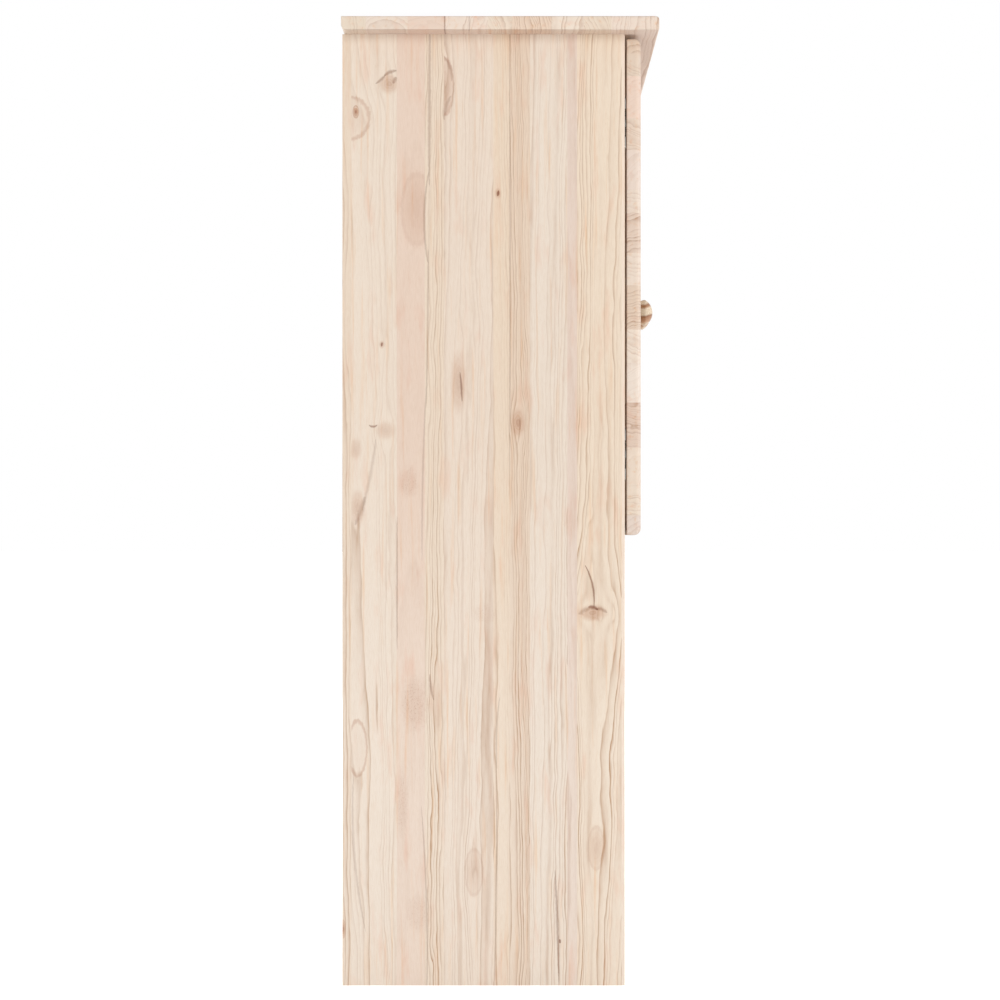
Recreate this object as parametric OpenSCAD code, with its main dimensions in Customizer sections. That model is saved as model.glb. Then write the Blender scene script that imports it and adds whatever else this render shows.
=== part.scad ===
// Highboard in edge-glued pine, seen from the side in the reference.
// Two framed glass doors hang on concealed cup hinges over the upper half, the lower half is open,
// and the side panels run down to the floor. X is the width, -Y the front, +Z up.

/* [Overall] */
// Height from the floor to the upper face of the top board
height = 1070; // [1000:1:1150]
// Width of the top board
top_w = 600; // [570:1:680]
// Depth of the top board
top_d = 350; // [330:1:400]

/* [Boards] */
// Thickness of the top board
top_t = 16; // [15:0.5:20]
// Thickness of the side panels
side_t = 16; // [15:0.5:17]
// Thickness of the bottom panel and the shelves
shelf_t = 16; // [15:0.5:20]
// Thickness of the plinth rail
plinth_t = 16; // [12:0.5:20]
// Height of the plinth rail
plinth_h = 60; // [40:1:90]
// Distance of the plinth rail behind the front edges of the side panels
plinth_setback = 20; // [5:1:40]
// Overhang of the top board past each side panel
top_side_overhang = 20; // [5:1:30]
// Overhang of the top board past the front faces of the doors
top_front_overhang = 19; // [8:1:30]
// Distance of the fixed panels behind the front edges of the side panels
panel_setback = 1; // [0.5:0.5:4]
// Radius of the small easing on the arrises of the boards
ease_r = 1.5; // [1:0.5:3]

/* [Top board edges] */
// Radius of the upper front arris
top_front_upper_r = 5; // [2:0.5:7]
// Radius of the lower front arris
top_front_lower_r = 2.5; // [1:0.5:5]
// Radius of the lower rear arris
top_rear_lower_r = 7; // [2:0.5:7.5]
// Radius of the upper rear arris
top_rear_upper_r = 1.5; // [1:0.5:5]
// Radius of the upper arrises at the two ends
top_end_upper_r = 2.5; // [1:0.5:6]
// Radius of the lower arrises at the two ends
top_end_lower_r = 2; // [1:0.5:6]

/* [Back] */
// Thickness of the plywood back
back_t = 4; // [3:0.5:6]
// Distance of the back in from the rear edges of the side panels
back_inset = 1; // [0.5:0.5:3]
// Width of the rebate that takes the back in each side panel
rebate_w = 8; // [6:0.5:10]
// Play between the back and the walls of its rebate
back_play = 0.3; // [0.2:0.1:0.8]

/* [Shelves] */
// Rest of the fixed shelf that shows below the doors
mid_shelf_reveal = 2; // [0:0.5:6]
// Height of the adjustable shelf above the fixed one, clear between their faces
upper_shelf_clear = 262; // [200:1:300]
// Height of the lower shelf above the bottom panel, clear between their faces
lower_shelf_clear = 202; // [120:1:260]
// Distance of the adjustable shelves behind the front edges of the side panels
shelf_setback = 12; // [4:1:30]
// Play of an adjustable shelf at each end and behind it
shelf_play = 0.5; // [0.3:0.1:1.5]
// Pitch of the holes for the shelf pins
hole_pitch = 32; // [25:1:40]
// Holes in each row for the shelf pins
hole_rows = 3; // [1:2:5]
// Diameter of the shelf pins
pin_d = 5; // [4:0.5:6]
// Depth of the holes for the shelf pins
pin_hole_depth = 10; // [8:0.5:11]
// Distance of the pin holes from the front and rear edges of a shelf
pin_edge = 45; // [30:1:70]

/* [Knock-down fittings] */
// Diameter of the cams
cam_d = 15; // [12:0.5:16]
// Height of the cams
cam_h = 12; // [10:0.5:12.5]
// Distance of a cam's centre from the joint
cam_offset = 24; // [20:1:34]
// Distance of the front and rear cams from the edges of a panel
cam_edge = 60; // [45:1:80]
// Diameter of the dowels
dowel_d = 8; // [6:0.5:8]
// Length of the dowels
dowel_l = 30; // [24:1:36]
// Depth of the dowel holes in the side panels and in the top board
dowel_depth = 10; // [8:0.5:11]
// Distance from a cam to the dowel beside it
dowel_offset = 37; // [24:1:50]

/* [Doors] */
// Thickness of the doors
door_t = 16; // [15:0.5:18]
// Height of the doors
door_h = 550; // [500:1:580]
// Gap between the doors and the front edges of the side panels
door_gap = 2; // [1.9:0.1:2.5]
// Gap between the doors and the top board
door_top_gap = 5; // [3:0.5:8]
// Distance of the doors in from the outer faces of the side panels
door_inset = 1; // [0.5:0.1:1.5]
// Gap between the two doors
door_mid_gap = 3; // [2:0.5:5]
// Width of the door frame round the glass
stile_w = 50; // [48:1:64]
// Radius of the front arrises of the doors
door_front_r = 8; // [6:0.5:9]
// Radius of the rear arrises of the doors
door_rear_r = 2; // [2:0.1:3]
// Radius of the corners of the window
window_r = 6; // [4:0.5:10]
// Radius of the front arris of the window
window_arris_r = 3; // [1.5:0.5:4]
// Thickness of the wooden lip in front of the glass
lip_t = 6; // [5:0.5:7]
// Lap of the lip over the glass
lip_w = 8; // [6:0.5:9]
// Thickness of the glass
glass_t = 4; // [3:0.5:5]
// Play between the edges of the glass and its rebate
glass_play = 0.8; // [0.5:0.1:1.5]
// Width of the glazing beads
bead_w = 8; // [6:0.5:8]
// Radius of the rounded arris of the glazing beads
bead_r = 3; // [1:0.5:4]

/* [Knobs] */
// Diameter of the knob
knob_d = 31.5; // [28:0.5:40]
// Distance of the knob's tip from the face of the door
knob_l = 27.6; // [25:0.2:32]
// Distance of the knob's widest point from the face of the door
knob_rim = 18.5; // [17:0.5:20]
// Radius of the rounding below the widest point
knob_under_r = 11; // [9:0.5:12]
// Diameter of the waist of the knob
knob_waist_d = 16; // [12:0.5:18]
// Diameter of the foot of the knob
knob_foot_d = 19.5; // [18.5:0.5:22]
// Radius of the cove between the foot and the head
knob_cove_r = 6; // [5:0.5:6.5]
// Distance of the knob below the middle of the door
knob_drop = 4; // [0:1:30]
// Diameter of the screw that holds the knob
knob_screw_d = 4; // [3.5:0.5:5]
// Diameter of the head of that screw
knob_screw_head_d = 8.5; // [7:0.5:10]
// Height of the head of that screw
knob_screw_head_h = 2.2; // [1.5:0.1:2.5]
// Length of that screw inside the knob
knob_screw_grip = 13; // [8:0.5:16]

/* [Bumpers] */
// Diameter of the rubber bumpers behind the doors
bumper_d = 8; // [6:0.5:9]
// Distance of a bumper from the side edges of its door
bumper_edge = 26; // [18:1:40]
// Air between a bumper and the fixed shelf
bumper_air = 0.3; // [0.2:0.1:0.5]

/* [Hinges] */
// Distance of the hinges from the upper and lower edges of the doors
hinge_end = 90; // [70:1:130]
// Diameter of the hinge cups
cup_d = 35; // [34:0.5:36]
// Wood left between a cup and the hinged edge of the door
cup_edge = 3; // [2.8:0.1:3.2]
// Depth of the cups in the doors
cup_depth = 12.4; // [12.2:0.1:13]
// Wall thickness of the cups
cup_wall = 0.9; // [0.7:0.1:0.9]
// Thickness of the flange by which a cup is screwed on
flange_t = 1.2; // [1:0.1:1.5]
// Width of the flange
flange_w = 18; // [16:0.5:20]
// Spacing of the two cup screws
cup_screw_spacing = 48; // [46:1:52]
// Distance of the cup screws behind the cup's centre, away from the hinged edge
cup_screw_offset = 6; // [5.5:0.5:9]
// Distance of the pivot from the hinged edge of the door
pivot_edge = 7; // [6.8:0.1:7.1]
// Depth of the pivot below the rear face of the door
pivot_depth = 9; // [8.8:0.1:9.2]
// Diameter of the hinge pins
hinge_pin_d = 2.4; // [2:0.1:2.6]
// Diameter of the eye at the end of a hinge arm
eye_d = 4.4; // [4.2:0.1:4.6]
// Radial play of the eye on its pin
eye_play = 0.05; // [0.03:0.01:0.08]
// Width of the curved nose of a hinge arm, which dips into the cup
nose_w = 8; // [6:0.5:8.5]
// Thickness of the metal of a hinge arm
arm_t = 2; // [1.5:0.1:2.4]
// Outer radius of the bend of the nose
nose_bend_r = 4; // [3:0.5:5]
// Width of the hinge arm over its plate
arm_w = 14; // [12:0.5:16]
// Distance of the plate screws behind the front edge of the side panel
plate_line = 37; // [34:1:40]
// Spacing of the two plate screws
plate_screw_spacing = 32; // [30:1:36]
// Thickness of the wings of a mounting plate
wing_t = 2.5; // [2:0.1:3]
// Height of the spine of a mounting plate
spine_h = 6; // [5:0.5:8]
// Length of the spine of a mounting plate
spine_l = 40; // [36:1:44]

/* [Hidden] */
$fn = 96;

// Widths
body_w = top_w - 2 * top_side_overhang;
inner_w = body_w - 2 * side_t;
left_out = -body_w / 2;
left_in = left_out + side_t;

// Depths, from the rear face of the sides at +Y to the knobs at -Y
side_d = top_d - top_front_overhang - door_t - door_gap;
overall_d = side_d + door_gap + door_t + max(knob_l, top_front_overhang);
rear_y = overall_d / 2;
side_front_y = rear_y - side_d;
door_back_y = side_front_y - door_gap;
back_front_y = rear_y - back_inset - back_t;
panel_front_y = side_front_y + panel_setback;
panel_d = back_front_y - panel_front_y;
shelf_front_y = side_front_y + shelf_setback;
shelf_d = back_front_y - shelf_play - shelf_front_y;

// Heights
side_h = height - top_t;
door_z1 = side_h - door_top_gap;
door_z0 = door_z1 - door_h;
bottom_z = plinth_h;
mid_shelf_z = door_z0 - mid_shelf_reveal;
upper_shelf_z = mid_shelf_z + shelf_t + upper_shelf_clear;
lower_shelf_z = bottom_z + shelf_t + lower_shelf_clear;

side_rear_r = 0.5;

// Fits
wood_fit = 0.05; // bores in wood, on the radius
metal_fit = 0.02; // pieces pressed or screwed into metal, on the radius
pin_r = pin_d / 2;
cam_r = cam_d / 2;
dowel_r = dowel_d / 2;
over = 1;

// Knock-down joints: places along Y of the cams and of the dowels beside them
cam_ys = [panel_front_y + cam_edge, back_front_y - cam_edge];
dowel_ys = [cam_ys[0] + dowel_offset, cam_ys[1] - dowel_offset];
fixed_panel_zs = [bottom_z, mid_shelf_z];
pin_ys = [shelf_front_y + pin_edge, back_front_y - shelf_play - pin_edge];
adjustable_shelf_zs = [upper_shelf_z, lower_shelf_z];
plinth_dowel_edge = 15;
plinth_dowel_zs = [plinth_dowel_edge, plinth_h - plinth_dowel_edge];
plinth_dowel_y = side_front_y + plinth_setback + plinth_t / 2;
dowel_air = 0.5;

// Cams and their bolts
bolt_level = 8; // from the face that the cam is let into
cam_sink = 0.2;
cam_floor_air = 0.3;
cam_bore_depth = cam_h + cam_sink + cam_floor_air;
cam_cross_l = 9;
cam_cross_w = 1.8;
cam_cross_depth = 2.5;
bolt_thread_r = 2.5;
bolt_thread_l = 10;
bolt_shank_r = 3;
bolt_neck_r = 2;
bolt_head_r = 3.2;
bolt_head_h = 3;
bolt_head_air = 1;
bolt_channel_air = 0.4;
bolt_channel_r = bolt_head_r + bolt_channel_air;
bolt_bore_r = 4;

// Shelf pins
pin_end_air = 0.5;
pin_tab_l = 9;
pin_tab_w = 11;
pin_tab_t = 2;

// Door
door_w = body_w / 2 - door_inset - door_mid_gap / 2;
bead_t = door_t - lip_t - glass_t;
bead_play = 0.1;
mitre_gap = 0.1;
knob_x = door_w - stile_w / 2;
knob_z = door_h / 2 - knob_drop;
knob_r = knob_d / 2;
knob_foot_land = 0.3;
knob_screw_r = knob_screw_d / 2;
knob_tip_air = 0.5;
bumper_h = door_gap + panel_setback - bumper_air;
bumper_z = mid_shelf_z - door_z0 + shelf_t - bumper_d;

// Hinge, seen from above in its own frame: X from the outer face of the side panel inwards,
// Y from the rear face of the closed door into the cabinet
hinge_zs = [door_z0 + hinge_end, door_z1 - hinge_end];
cup_r = cup_d / 2;
cup_floor_air = 0.1;
cup_x = door_inset + cup_edge + cup_r;
cup_in_r = cup_r - cup_wall;
pivot_x = door_inset + pivot_edge;
hinge_pin_r = hinge_pin_d / 2;
eye_r = eye_d / 2;
ear_air = 0.4;
ear_r = 2.4;
flange_end = 6;
flange_l = cup_screw_spacing + 2 * flange_end;
flange_front = 5;
flange_x = cup_x - flange_front;
flange_end_r = 5;
nose_drop = 0.4;
cup_screw_r = 1.75;
cup_screw_l = 11;
cup_screw_air = 0.5;
cup_screw_head_r = 3.4;
cup_screw_head_h = 1.8;
plate_y = door_gap + plate_line;
plate_screw_r = 2.5;
plate_screw_l = 11;
plate_screw_air = 0.5;
plate_screw_head_r = 4;
plate_screw_head_h = 2;
wing_w = 12;
wing_end_r = 5;
cheek_air = 0.3;
spine_w = arm_w - 2 * (arm_t + cheek_air);
arm_seat_air = 0.3;
arm_x = side_t + spine_h + arm_seat_air; // underside of the arm's web
arm_tail = 2;
arm_end_y = plate_y + spine_l / 2 + arm_tail;
shoulder_back = 10;
arm_shoulder_y = door_gap + shoulder_back;
cheek_lift = 0.5;
cheek_l = arm_x + arm_t - side_t - wing_t - cheek_lift;
arm_screw_r = 3;
arm_screw_head_r = 4.2;
arm_screw_head_h = 1.6;
arm_screw_bite = 4;
arm_screw_air = 0.5;
arm_screw_l = arm_screw_bite + arm_seat_air + arm_t;
arm_screw_offset = 12;
arm_screw_ys = [plate_y - arm_screw_offset, plate_y + arm_screw_offset];
slot_l = 4.5;
slot_w = 1;
slot_depth = 0.8;

// What a radius r takes off the corner of a profile whose edges lie on the positive axes
module corner_waste(r) {
  if (r > 0) difference() {
    translate([-over, -over]) square(r + over);
    translate([r, r]) circle(r);
  }
}

// Rectangle with its own radius at each corner, from the origin counterclockwise
module rounded_rect(w, h, radii) {
  difference() {
    square([w, h]);
    corner_waste(radii[0]);
    translate([w, 0]) rotate(90) corner_waste(radii[1]);
    translate([w, h]) rotate(180) corner_waste(radii[2]);
    translate([0, h]) rotate(270) corner_waste(radii[3]);
  }
}

// Flat board with eased arrises: its plan, its section across and its section along cut each other
module eased_board(w, d, t, plan, across, along) {
  intersection() {
    linear_extrude(t) rounded_rect(w, d, plan);
    rotate([90, 0, 90]) linear_extrude(w) rounded_rect(d, t, across);
    translate([0, d, 0]) rotate([90, 0, 0]) linear_extrude(d) rounded_rect(w, t, along);
  }
}

// Everything on the left side again on the right side
module both_sides() {
  children();
  mirror([1, 0, 0]) children();
}

// Cylinder along +X from its end face
module rod_x(r, l) {
  rotate([0, 90, 0]) cylinder(r = r, h = l);
}

// Carcass

module top_panel() {
  across = [top_front_lower_r, top_rear_lower_r, top_rear_upper_r, top_front_upper_r];
  along = [top_end_lower_r, top_end_lower_r, top_end_upper_r, top_end_upper_r];
  color("burlywood") difference() {
    translate([-top_w / 2, rear_y - top_d, side_h])
      eased_board(top_w, top_d, top_t, [ease_r, ease_r, ease_r, ease_r], across, along);
    both_sides() {
      for (y = cam_ys)
        translate([left_in - bolt_level, y, side_h - over])
          cylinder(r = bolt_thread_r + wood_fit, h = bolt_thread_l + over);
      for (y = dowel_ys)
        translate([left_in - bolt_level, y, side_h - over])
          cylinder(r = dowel_r + wood_fit, h = dowel_depth + over);
    }
  }
}

// Left side panel: rebate for the back, bores for the fittings of the fixed boards and for the pins
module side_panel() {
  color("burlywood") difference() {
    translate([left_out, side_front_y, 0])
      linear_extrude(side_h) rounded_rect(side_t, side_d, [ease_r, ease_r, side_rear_r, side_rear_r]);
    translate([left_in - rebate_w, rear_y - back_inset - back_t, bottom_z])
      cube([rebate_w + over, back_t + back_inset + over, side_h]);
    for (z = fixed_panel_zs, y = cam_ys)
      translate([left_in - bolt_thread_l, y, z + bolt_level])
        rod_x(bolt_thread_r + wood_fit, bolt_thread_l + over);
    for (z = fixed_panel_zs, y = dowel_ys)
      translate([left_in - dowel_depth, y, z + bolt_level]) rod_x(dowel_r + wood_fit, dowel_depth + over);
    for (z = adjustable_shelf_zs, y = pin_ys, row = [-(hole_rows - 1) / 2 : (hole_rows - 1) / 2])
      translate([left_in - pin_hole_depth, y, z - pin_r + row * hole_pitch])
        rod_x(pin_r + wood_fit, pin_hole_depth + over);
    for (y = cam_ys) {
      translate([left_in - cam_bore_depth, y, side_h - cam_offset])
        rod_x(cam_r + wood_fit, cam_bore_depth + over);
      translate([left_in - bolt_level, y, side_h - cam_offset])
        cylinder(r = bolt_bore_r, h = cam_offset + over);
    }
    for (y = dowel_ys)
      translate([left_in - bolt_level, y, side_h - (dowel_l - dowel_depth)])
        cylinder(r = dowel_r + wood_fit, h = dowel_l - dowel_depth + over);
    for (z = plinth_dowel_zs)
      translate([left_in - dowel_depth, plinth_dowel_y, z]) rod_x(dowel_r + wood_fit, dowel_depth + over);
    for (z = hinge_zs, end = [-1, 1])
      translate([left_in - plate_screw_l, side_front_y + plate_line, z + end * plate_screw_spacing / 2])
        rod_x(plate_screw_r + wood_fit, plate_screw_l + over);
  }
}

module left_side_panel() {
  side_panel();
}

module right_side_panel() {
  mirror([1, 0, 0]) side_panel();
}

// Board fixed between the side panels, with bores for its cams, bolts and dowels
module fixed_panel(z) {
  color("burlywood") difference() {
    translate([left_in, panel_front_y, z])
      eased_board(inner_w, panel_d, shelf_t, [0, 0, 0, 0], [ease_r, 0, 0, ease_r], [0, 0, 0, 0]);
    both_sides() {
      for (y = cam_ys) {
        translate([left_in + cam_offset, y, z - over])
          cylinder(r = cam_r + wood_fit, h = cam_bore_depth + over);
        translate([left_in - over, y, z + bolt_level]) rod_x(bolt_bore_r, cam_offset + over);
      }
      for (y = dowel_ys)
        translate([left_in - over, y, z + bolt_level]) rod_x(dowel_r + wood_fit, dowel_l - dowel_depth + over);
    }
  }
}

module bottom_panel() {
  fixed_panel(bottom_z);
}

module middle_shelf() {
  fixed_panel(mid_shelf_z);
}

module plinth_rail() {
  color("burlywood") difference() {
    translate([left_in, side_front_y + plinth_setback, 0]) cube([inner_w, plinth_t, plinth_h]);
    both_sides()
      for (z = plinth_dowel_zs)
        translate([left_in - over, plinth_dowel_y, z]) rod_x(dowel_r + wood_fit, dowel_l - dowel_depth + over);
  }
}

module adjustable_shelf(z) {
  color("burlywood") translate([left_in + shelf_play, shelf_front_y, z])
    eased_board(inner_w - 2 * shelf_play, shelf_d, shelf_t, [0, 0, 0, 0], [ease_r, 0, 0, ease_r], [0, 0, 0, 0]);
}

module upper_shelf() {
  adjustable_shelf(upper_shelf_z);
}

module lower_shelf() {
  adjustable_shelf(lower_shelf_z);
}

module back_panel() {
  edge_x = left_in - rebate_w + back_play;
  color("wheat") translate([edge_x, back_front_y, bottom_z + back_play])
    cube([-2 * edge_x, back_t, side_h - bottom_z - 2 * back_play]);
}

// Fittings of the carcass

// Pin with a flat tab for a shelf, its axis along +X from the side panel's inner face
module shelf_pin() {
  translate([pin_end_air - pin_hole_depth, 0, -pin_r]) rod_x(pin_r, pin_hole_depth - pin_end_air + pin_tab_l);
  translate([shelf_play, -pin_tab_w / 2, -pin_tab_t]) cube([pin_tab_l - shelf_play, pin_tab_w, pin_tab_t]);
}

module shelf_pins() {
  color("silver") both_sides()
    for (z = adjustable_shelf_zs, y = pin_ys)
      translate([left_in, y, z]) shelf_pin();
}

// Cam with its face at the origin and its channel for the bolt's head towards -X
module cam() {
  difference() {
    cylinder(r = cam_r, h = cam_h);
    translate([0, 0, bolt_level - cam_sink]) rotate([0, -90, 0]) cylinder(r = bolt_channel_r, h = cam_r + over);
    translate([0, 0, bolt_level - cam_sink]) sphere(bolt_channel_r);
    for (turn = [0, 90])
      rotate(turn) translate([-cam_cross_l / 2, -cam_cross_w / 2, -over])
        cube([cam_cross_l, cam_cross_w, cam_cross_depth + over]);
  }
}

module cams() {
  color("silver") both_sides() {
    for (z = fixed_panel_zs, y = cam_ys)
      translate([left_in + cam_offset, y, z + cam_sink]) cam();
    for (y = cam_ys)
      translate([left_in - cam_sink, y, side_h - cam_offset]) rotate([0, -90, 0]) rotate(180) cam();
  }
}

// Bolt along +Z: thread below the joint, shank, neck and the head that the cam draws in
module cam_bolt() {
  translate([0, 0, -bolt_thread_l]) cylinder(r = bolt_thread_r, h = bolt_thread_l);
  cylinder(r = bolt_shank_r, h = cam_offset - cam_r - bolt_head_air);
  cylinder(r = bolt_neck_r, h = cam_offset);
  translate([0, 0, cam_offset - bolt_head_h / 2]) cylinder(r = bolt_head_r, h = bolt_head_h);
}

module cam_bolts() {
  color("silver") both_sides() {
    for (z = fixed_panel_zs, y = cam_ys)
      translate([left_in, y, z + bolt_level]) rotate([0, 90, 0]) cam_bolt();
    for (y = cam_ys)
      translate([left_in - bolt_level, y, side_h]) rotate([180, 0, 0]) cam_bolt();
  }
}

module dowels() {
  color("tan") both_sides() {
    for (z = fixed_panel_zs, y = dowel_ys)
      translate([left_in - dowel_depth + dowel_air, y, z + bolt_level]) rod_x(dowel_r, dowel_l - 2 * dowel_air);
    for (z = plinth_dowel_zs)
      translate([left_in - dowel_depth + dowel_air, plinth_dowel_y, z]) rod_x(dowel_r, dowel_l - 2 * dowel_air);
    for (y = dowel_ys)
      translate([left_in - bolt_level, y, side_h + dowel_depth - dowel_l + dowel_air])
        cylinder(r = dowel_r, h = dowel_l - 2 * dowel_air);
  }
}

// Doors. The left one is drawn lying on its back: X from the hinged edge to the meeting edge,
// Y from the lower edge to the upper edge, Z from the rear face to the front face

module at_left_door() {
  translate([left_out + door_inset, door_back_y, door_z0]) rotate([90, 0, 0]) children();
}

// One after the other, the four sides of a rectangle w by h, each running along +X from its corner
module round_four_sides(w, h) {
  for (side = [[0, 0, 0], [w, 0, 90], [w, h, 180], [0, h, 270]])
    translate([side[0], side[1], 0]) rotate(side[2]) {
      $side_l = side[2] % 180 == 0 ? w : h;
      children();
    }
}

// Window: the hole right through and the roundover of its front arris, with rounded corners
module window_cutter() {
  w = door_w - 2 * stile_w;
  h = door_h - 2 * stile_w;
  translate([stile_w, stile_w, 0]) {
    translate([0, 0, -over]) linear_extrude(door_t + 2 * over)
      rounded_rect(w, h, [window_r, window_r, window_r, window_r]);
    translate([0, 0, door_t]) round_four_sides(w, h) {
      translate([window_r, 0, 0]) rotate([90, 0, 90])
        linear_extrude($side_l - 2 * window_r) rotate(180) corner_waste(window_arris_r);
      translate([window_r, window_r, 0]) rotate_extrude(angle = 90, start = 180)
        translate([window_r, 0]) mirror([0, 1]) corner_waste(window_arris_r);
    }
  }
}

// Rebate in the rear face that takes the glass and its beads
module glass_rebate(play, t) {
  w = door_w - 2 * (stile_w - lip_w + play);
  h = door_h - 2 * (stile_w - lip_w + play);
  translate([stile_w - lip_w + play, stile_w - lip_w + play, 0]) cube([w, h, t]);
}

module door_frame() {
  faces = [door_rear_r, door_rear_r, door_front_r, door_front_r];
  difference() {
    eased_board(door_w, door_h, door_t, [ease_r, ease_r, ease_r, ease_r], faces, faces);
    window_cutter();
    translate([0, 0, -over]) glass_rebate(0, door_t - lip_t + over);
    for (y = [hinge_end, door_h - hinge_end]) {
      translate([cup_x - door_inset, y, -over])
        cylinder(r = cup_r + wood_fit, h = cup_depth + cup_floor_air + over);
      for (end = [-1, 1])
        translate([cup_x - door_inset + cup_screw_offset, y + end * cup_screw_spacing / 2, -over])
          cylinder(r = cup_screw_r + wood_fit, h = cup_screw_l + over);
    }
    translate([knob_x, knob_z, -over]) cylinder(r = knob_screw_r + wood_fit, h = door_t + 2 * over);
  }
}

module door_glass() {
  translate([0, 0, bead_t]) glass_rebate(glass_play, glass_t);
}

// Four mitred strips behind the glass, their inner rear arris rounded
module glazing_beads() {
  w = door_w - 2 * (stile_w - lip_w + bead_play);
  h = door_h - 2 * (stile_w - lip_w + bead_play);
  translate([stile_w - lip_w + bead_play, stile_w - lip_w + bead_play, 0]) round_four_sides(w, h)
    intersection() {
      linear_extrude(bead_t)
        polygon([
          [mitre_gap, 0], [$side_l - mitre_gap, 0],
          [$side_l - bead_w - mitre_gap, bead_w], [bead_w + mitre_gap, bead_w],
        ]);
      rotate([90, 0, 90]) linear_extrude($side_l) rounded_rect(bead_w, bead_t, [0, bead_r, 0, 0]);
    }
}

// Turned knob: domed face, rounded underside and a cove that narrows the neck to the waist
module knob() {
  // the dome is an arc through the widest point and the tip
  dome_h = knob_l - knob_rim;
  dome_r = (pow(knob_r, 2) + pow(dome_h, 2)) / (2 * dome_h);
  cove_a = knob_cove_r + knob_foot_land;
  translate([knob_x, knob_z, door_t]) difference() {
    rotate_extrude() difference() {
      intersection() {
        square([knob_r, knob_l]);
        translate([0, knob_l - dome_r]) circle(dome_r);
      }
      difference() {
        square([knob_r + over, knob_rim]);
        square([knob_foot_d / 2, cove_a]);
        square([knob_r - knob_under_r, knob_rim]);
        translate([knob_r - knob_under_r, knob_rim]) circle(knob_under_r);
      }
      translate([knob_waist_d / 2 + knob_cove_r, cove_a]) circle(knob_cove_r);
    }
    translate([0, 0, -over]) cylinder(r = knob_screw_r + wood_fit, h = knob_screw_grip + knob_tip_air + over);
  }
}

module knob_screw() {
  translate([knob_x, knob_z, 0]) {
    cylinder(r = knob_screw_r, h = door_t + knob_screw_grip);
    difference() {
      translate([0, 0, -knob_screw_head_h]) cylinder(r = knob_screw_head_d / 2, h = knob_screw_head_h);
      for (turn = [0, 90]) rotate(turn)
        translate([-slot_l / 2, -slot_w / 2, -knob_screw_head_h - over])
          cube([slot_l, slot_w, slot_depth + over]);
    }
  }
}

module door_bumpers() {
  for (x = [bumper_edge, door_w - bumper_edge])
    translate([x, bumper_z, -bumper_h]) cylinder(r = bumper_d / 2, h = bumper_h);
}

// Hinges of the left door, drawn in plan and raised along Z

module at_left_hinges() {
  for (z = hinge_zs) translate([left_out, door_back_y, z]) children();
}

// Cylinder from its end face at the origin towards the front
module rod_to_front(r, l) {
  rotate([90, 0, 0]) cylinder(r = r, h = l);
}

// Cross recess in the head of a screw, cut from the top of the head downwards along -Z
module cross_recess(l, w, depth) {
  for (turn = [0, 90]) rotate(turn) translate([-l / 2, -w / 2, -depth]) cube([l, w, depth + over]);
}

// Cup let into the door: round shell, screwed flange and two ears that hold the pin
module hinge_cup() {
  difference() {
    union() {
      translate([cup_x, 0, 0]) rod_to_front(cup_r, cup_depth);
      translate([flange_x, 0, 0]) rotate([90, 0, 0]) mirror([0, 0, 1]) linear_extrude(flange_t)
          translate([0, -flange_l / 2])
            rounded_rect(flange_w, flange_l, [flange_end_r, flange_end_r, flange_end_r, flange_end_r]);
    }
    difference() {
      translate([cup_x, flange_t + over, 0]) rod_to_front(cup_in_r, cup_depth - cup_wall + flange_t + over);
      for (side = [0, 1]) mirror([0, 0, side]) translate([0, 0, nose_w / 2 + ear_air]) linear_extrude(cup_r) {
        translate([pivot_x, -pivot_depth]) circle(ear_r);
        translate([0, -cup_depth]) square([pivot_x + ear_r, cup_depth - pivot_depth]);
        translate([0, -pivot_depth]) square([pivot_x, ear_r]);
      }
    }
    translate([pivot_x, -pivot_depth, -cup_r]) cylinder(r = hinge_pin_r + metal_fit, h = cup_d);
    for (end = [-1, 1])
      translate([cup_x + cup_screw_offset, flange_t + over, end * cup_screw_spacing / 2])
        rod_to_front(cup_screw_r + metal_fit, flange_t + 2 * over);
  }
}

// The pin spans the chord of the cup's shell where the pivot lies
module hinge_pin() {
  half = sqrt(pow(cup_in_r, 2) - pow(cup_x - pivot_x, 2));
  translate([pivot_x, -pivot_depth, -half]) cylinder(r = hinge_pin_r, h = 2 * half);
}

module cup_screws() {
  for (end = [-1, 1])
    translate([cup_x + cup_screw_offset, flange_t, end * cup_screw_spacing / 2]) rotate([-90, 0, 0]) {
      translate([0, 0, cup_screw_air - flange_t - cup_screw_l])
        cylinder(r = cup_screw_r, h = flange_t + cup_screw_l - cup_screw_air);
      difference() {
        cylinder(r = cup_screw_head_r, h = cup_screw_head_h);
        translate([0, 0, cup_screw_head_h]) cross_recess(slot_l, slot_w, slot_depth);
      }
    }
}

// Arm in plan: the eye on the pin, the leg along the cup's floor, the bend and the straight web
module arm_nose_plan() {
  web_out_x = arm_x + arm_t;
  leg_y = -pivot_depth - arm_t / 2 - nose_drop;
  difference() {
    union() {
      translate([pivot_x, -pivot_depth]) circle(eye_r);
      translate([pivot_x, leg_y]) square([web_out_x - nose_bend_r - pivot_x, arm_t]);
      translate([web_out_x - nose_bend_r, leg_y + nose_bend_r]) intersection() {
        difference() {
          circle(nose_bend_r);
          circle(nose_bend_r - arm_t);
        }
        translate([0, -nose_bend_r]) square(nose_bend_r);
      }
      translate([arm_x, leg_y + nose_bend_r]) square([arm_t, arm_shoulder_y + over - leg_y - nose_bend_r]);
    }
    translate([pivot_x, -pivot_depth]) circle(hinge_pin_r + eye_play);
  }
}

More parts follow.
